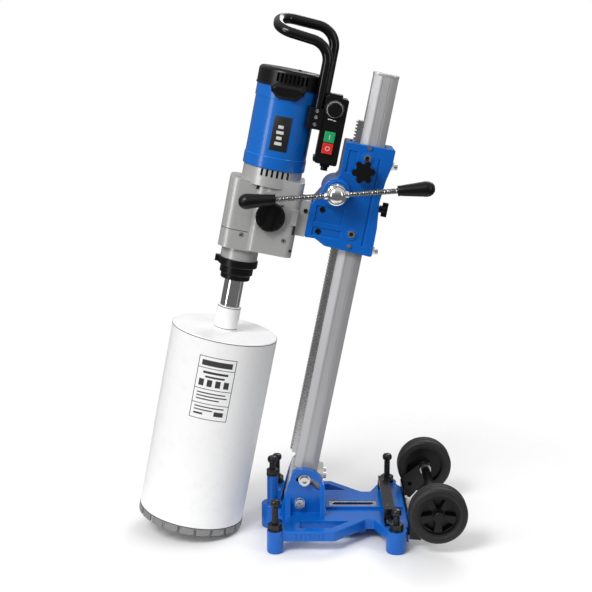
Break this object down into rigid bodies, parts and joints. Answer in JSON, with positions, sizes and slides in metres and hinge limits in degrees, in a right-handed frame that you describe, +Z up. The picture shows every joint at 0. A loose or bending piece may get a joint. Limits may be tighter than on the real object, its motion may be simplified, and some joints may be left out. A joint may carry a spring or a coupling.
{
  "type": "core drill rig",
  "caption": "Wheeled core drill rig: tilting column with a rack on a cast base, cranked carriage, drill motor, switch box and a large core bit.",
  "frame": {"origin": "on the ground, under the middle of the whole rig", "axes": "+X from the core bit to the wheels, +Z up, the operator stands at -Y"},
  "size_m": [0.7188, 0.356, 1.1317],
  "materials": {
    "blue_enamel": "gloss enamel on castings",
    "motor_blue": "glossy moulded shell",
    "grey_casting": "satin grey paint on castings",
    "black_plastic": "fine textured black plastic",
    "black_coat": "black powder coat",
    "black_oxide": "blackened steel",
    "bright_steel": "turned steel",
    "zinc": "zinc plated",
    "chrome": "polished",
    "column_metal": "drawn satin profile",
    "rack_steel": "milled steel",
    "tyre_rubber": "solid rubber",
    "barrel_white": "near-white satin paint",
    "segment_grey": "sintered diamond matrix",
    "green_button": "moulded",
    "red_button": "moulded",
    "bronze": "plain bearing bronze",
    "windings": "lacquered windings on laminations"
  },
  "bodies": {
    "base": {"base_casting": "blue_enamel", "slot_insert": "bright_steel", "levelling_nuts": "black_oxide", "pivot_bolt": "zinc", "top_strap": "black_coat", "wheel_bracket": "black_coat", "frame_bolts": "zinc", "axle": "black_coat", "axle_rings": "zinc"},
    "near_wheel": {"near_wheel_rim": "black_plastic", "near_wheel_tyre": "tyre_rubber", "near_wheel_cap": "black_plastic"},
    "far_wheel": {"far_wheel_rim": "black_plastic", "far_wheel_tyre": "tyre_rubber", "far_wheel_cap": "black_plastic"},
    "column": {"column_shoe": "grey_casting", "column_profile": "column_metal", "column_cap": "grey_casting", "gear_rack": "rack_steel", "rack_screws": "zinc", "tilt_lock_bolt": "zinc", "shoe_bolts": "zinc"},
    "carriage": {"carriage_casting": "blue_enamel", "guide_pads": "bronze", "pad_adjusters": "zinc", "rear_adjusters": "zinc", "pinion_bushes": "bronze", "motor_plate_screws": "black_oxide", "motor_housing": "motor_blue", "motor_cap": "black_plastic", "air_scoop": "black_plastic", "gearbox_housing": "grey_casting", "nose_housing": "black_plastic", "bearings": "bright_steel", "stator": "windings", "handle_tube": "black_coat", "handle_clamp": "black_plastic", "switch_box": "black_plastic", "cable_gland": "black_plastic"},
    "feed": {"pinion_shaft": "bright_steel", "feed_hub": "chrome", "feed_rod": "bright_steel", "feed_grips": "black_plastic"},
    "lock_knob": {"lock_knob": "black_plastic"},
    "thumb_screw": {"thumb_screw": "black_plastic"},
    "selector": {"selector_knob": "black_plastic"},
    "dial": {"speed_dial": "black_plastic"},
    "start_button": {"start_button": "green_button"},
    "stop_button": {"stop_button": "red_button"},
    "spindle": {"spindle": "chrome", "spindle_gear": "bright_steel", "core_barrel": "barrel_white", "bit_segments": "segment_grey"},
    "layshaft": {"layshaft": "bright_steel"},
    "armature": {"armature": "windings"},
    "screw_front_near": {"levelling_screw_front_near": "black_oxide"},
    "screw_front_far": {"levelling_screw_front_far": "black_oxide"},
    "screw_rear_near": {"levelling_screw_rear_near": "black_oxide"},
    "screw_rear_far": {"levelling_screw_rear_far": "black_oxide"},
    "screw_nose": {"levelling_screw_nose": "black_oxide"}
  },
  "joints": [
    {"name": "column_tilt", "type": "hinge", "parent": "base", "child": "column", "pos_m": [0.002, 0, 0.075], "axis": [0, 1, 0], "range_deg": [-11, 24]},
    {"name": "carriage_feed", "type": "slide", "parent": "column", "child": "carriage", "axis": [0.1908, 0, 0.9816], "range_m": [-0.45, 0.13]},
    {"name": "feed_turn", "type": "hinge", "parent": "carriage", "child": "feed", "pos_m": [0.07735, 0, 0.76531], "axis": [0, 1, 0], "range_deg": [-1440, 430]},
    {"name": "carriage_lock", "type": "hinge", "parent": "carriage", "child": "lock_knob", "pos_m": [0.13355, -0.06, 0.80939], "axis": [0, 1, 0], "range_deg": [-180, 180]},
    {"name": "thumb_screw_turn", "type": "hinge", "parent": "carriage", "child": "thumb_screw", "pos_m": [0.17854, 0, 0.72119], "axis": [0.9816, 0, -0.1908], "range_deg": [-180, 180]},
    {"name": "gear_selector", "type": "hinge", "parent": "carriage", "child": "selector", "pos_m": [-0.0601, -0.06, 0.7146], "axis": [0, 1, 0], "range_deg": [-60, 60]},
    {"name": "speed_dial_turn", "type": "hinge", "parent": "carriage", "child": "dial", "pos_m": [0.07412, -0.06, 0.93606], "axis": [0, 1, 0], "range_deg": [-150, 150]},
    {"name": "start_press", "type": "slide", "parent": "carriage", "child": "start_button", "axis": [0, 1, 0], "range_m": [0, 0.003], "stiffness_N_per_m": 900},
    {"name": "stop_press", "type": "slide", "parent": "carriage", "child": "stop_button", "axis": [0, 1, 0], "range_m": [0, 0.003], "stiffness_N_per_m": 900},
    {"name": "spindle_turn", "type": "hinge", "parent": "carriage", "child": "spindle", "pos_m": [-0.1504, 0, 0.51211], "axis": [0.1908, 0, 0.9816], "continuous": true},
    {"name": "layshaft_turn", "type": "hinge", "parent": "carriage", "child": "layshaft", "pos_m": [-0.08032, 0.02405, 0.74298], "axis": [0.1908, 0, 0.9816], "continuous": true},
    {"name": "armature_turn", "type": "hinge", "parent": "carriage", "child": "armature", "pos_m": [-0.03775, 0, 0.8977], "axis": [0.1908, 0, 0.9816], "continuous": true},
    {"name": "near_wheel_turn", "type": "hinge", "parent": "base", "child": "near_wheel", "pos_m": [0.2965, -0.152, 0.09], "axis": [0, 1, 0], "continuous": true},
    {"name": "far_wheel_turn", "type": "hinge", "parent": "base", "child": "far_wheel", "pos_m": [0.2965, 0.152, 0.09], "axis": [0, 1, 0], "continuous": true},
    {"name": "level_front_near", "type": "slide", "parent": "base", "child": "screw_front_near", "axis": [0, 0, 1], "range_m": [-0.038, 0.012]},
    {"name": "level_front_far", "type": "slide", "parent": "base", "child": "screw_front_far", "axis": [0, 0, 1], "range_m": [-0.038, 0.012]},
    {"name": "level_rear_near", "type": "slide", "parent": "base", "child": "screw_rear_near", "axis": [0, 0, 1], "range_m": [-0.017, 0.03]},
    {"name": "level_rear_far", "type": "slide", "parent": "base", "child": "screw_rear_far", "axis": [0, 0, 1], "range_m": [-0.038, 0.012]},
    {"name": "level_nose", "type": "slide", "parent": "base", "child": "screw_nose", "axis": [0, 0, 1], "range_m": [-0.013, 0.012]}
  ],
  "couplings": [
    {"joint": "feed_turn", "follows": "carriage_feed", "rad_per_m": 55.556},
    {"joint": "layshaft_turn", "follows": "spindle_turn", "ratio": -2.8333},
    {"joint": "armature_turn", "follows": "spindle_turn", "ratio": 7.3667}
  ]
}
